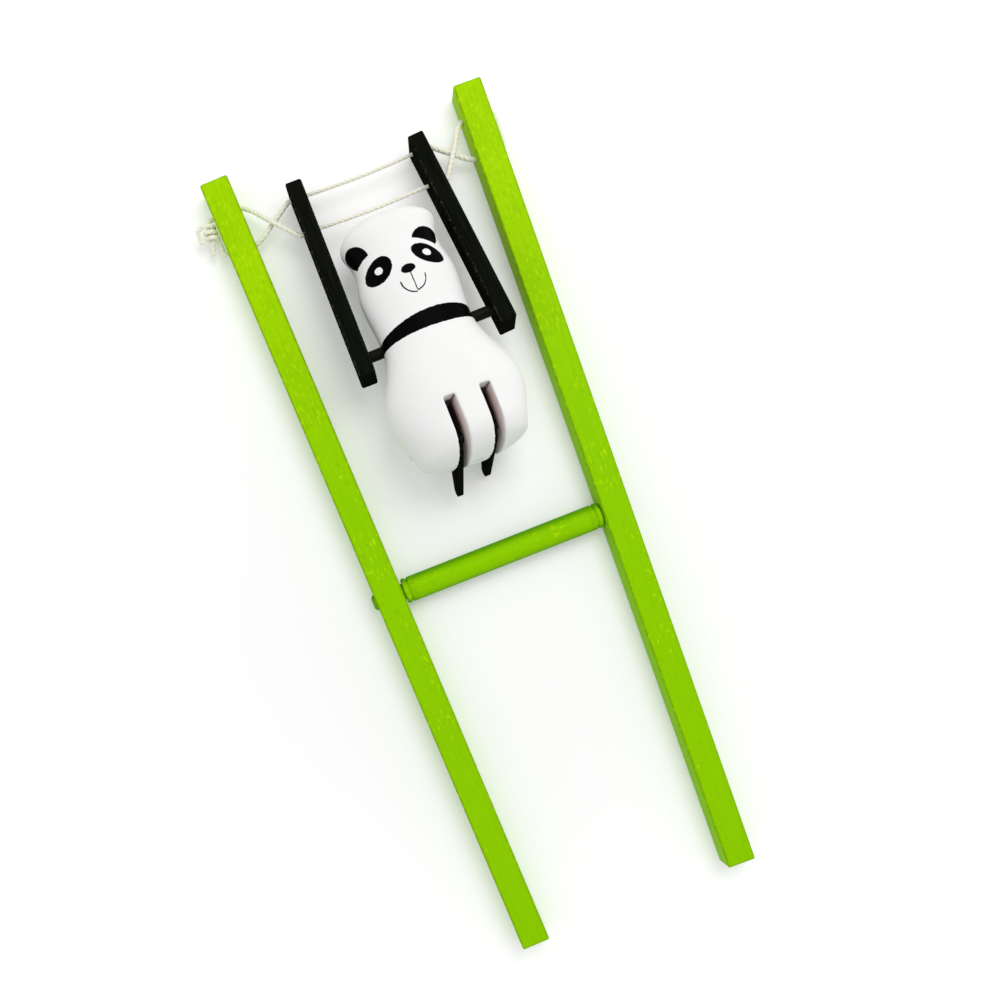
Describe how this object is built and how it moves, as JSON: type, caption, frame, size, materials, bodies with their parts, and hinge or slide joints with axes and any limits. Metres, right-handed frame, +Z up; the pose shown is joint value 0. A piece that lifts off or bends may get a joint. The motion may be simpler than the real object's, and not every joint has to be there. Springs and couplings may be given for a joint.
{
  "type": "squeeze acrobat toy",
  "caption": "Wooden panda hung by its arms on a twisted string loop between two sticks joined by a crossbar; squeezing the sticks makes it turn over.",
  "frame": {"origin": "middle of the bounding box at the surface the toy lies on", "axes": "+X across the sticks towards the right stick, +Y along the sticks towards their strung ends, +Z up from the surface it lies on"},
  "size_m": [0.0898, 0.2301, 0.0311],
  "materials": {
    "green_paint": "semi-gloss bright green paint on wood",
    "black_paint": "satin black paint on wood",
    "white_paint": "smooth white paint on wood, with a painted black face, ears and collar",
    "string_cotton": "twisted cream cotton string",
    "steel": "plain steel wire"
  },
  "bodies": {
    "frame_bar": {"crossbar": "green_paint", "left_front_strand": "string_cotton", "left_back_strand": "string_cotton", "right_front_strand": "string_cotton", "right_back_strand": "string_cotton"},
    "left_side": {"left_stick": "green_paint", "wound_string_end": "string_cotton", "core_string_end": "string_cotton"},
    "right_side": {"right_stick": "green_paint", "right_string_loop": "string_cotton"},
    "arms": {"left_arm": "black_paint", "right_arm": "black_paint", "shoulder_pin": "black_paint", "upper_middle_string": "string_cotton", "lower_middle_string": "string_cotton"},
    "panda": {"panda_body": "white_paint", "hip_pin": "steel"},
    "left_foot": {"left_leg": "black_paint"},
    "right_foot": {"right_leg": "black_paint"}
  },
  "joints": [
    {"name": "left_squeeze", "type": "hinge", "parent": "frame_bar", "child": "left_side", "pos_m": [-0.03188, -0.0085, 0.004], "axis": [0, 0, 1], "range_deg": [0, 1.2]},
    {"name": "right_squeeze", "type": "hinge", "parent": "frame_bar", "child": "right_side", "pos_m": [0.03614, -0.0085, 0.004], "axis": [0, 0, 1], "range_deg": [-1.2, 0]},
    {"name": "swing", "type": "hinge", "parent": "frame_bar", "child": "arms", "pos_m": [0.00213, 0.0977, 0.0064], "axis": [1, 0, 0], "continuous": true, "deforming": ["left_front_strand", "left_back_strand", "right_front_strand", "right_back_strand"]},
    {"name": "shoulder", "type": "hinge", "parent": "arms", "child": "panda", "pos_m": [0.00353, 0.05328, 0.01417], "axis": [1, 0, 0], "range_deg": [-120, 120]},
    {"name": "left_hip", "type": "hinge", "parent": "panda", "child": "left_foot", "pos_m": [-0.00079, 0.02359, 0.02108], "axis": [0.9894, 0.0059, -0.1451], "range_deg": [-170, 46]},
    {"name": "right_hip", "type": "hinge", "parent": "panda", "child": "right_foot", "pos_m": [0.00901, 0.02365, 0.01965], "axis": [0.9894, 0.0059, -0.1451], "range_deg": [-178, 36]}
  ],
  "couplings": [
    {"joint": "right_squeeze", "follows": "left_squeeze", "ratio": -1}
  ]
}
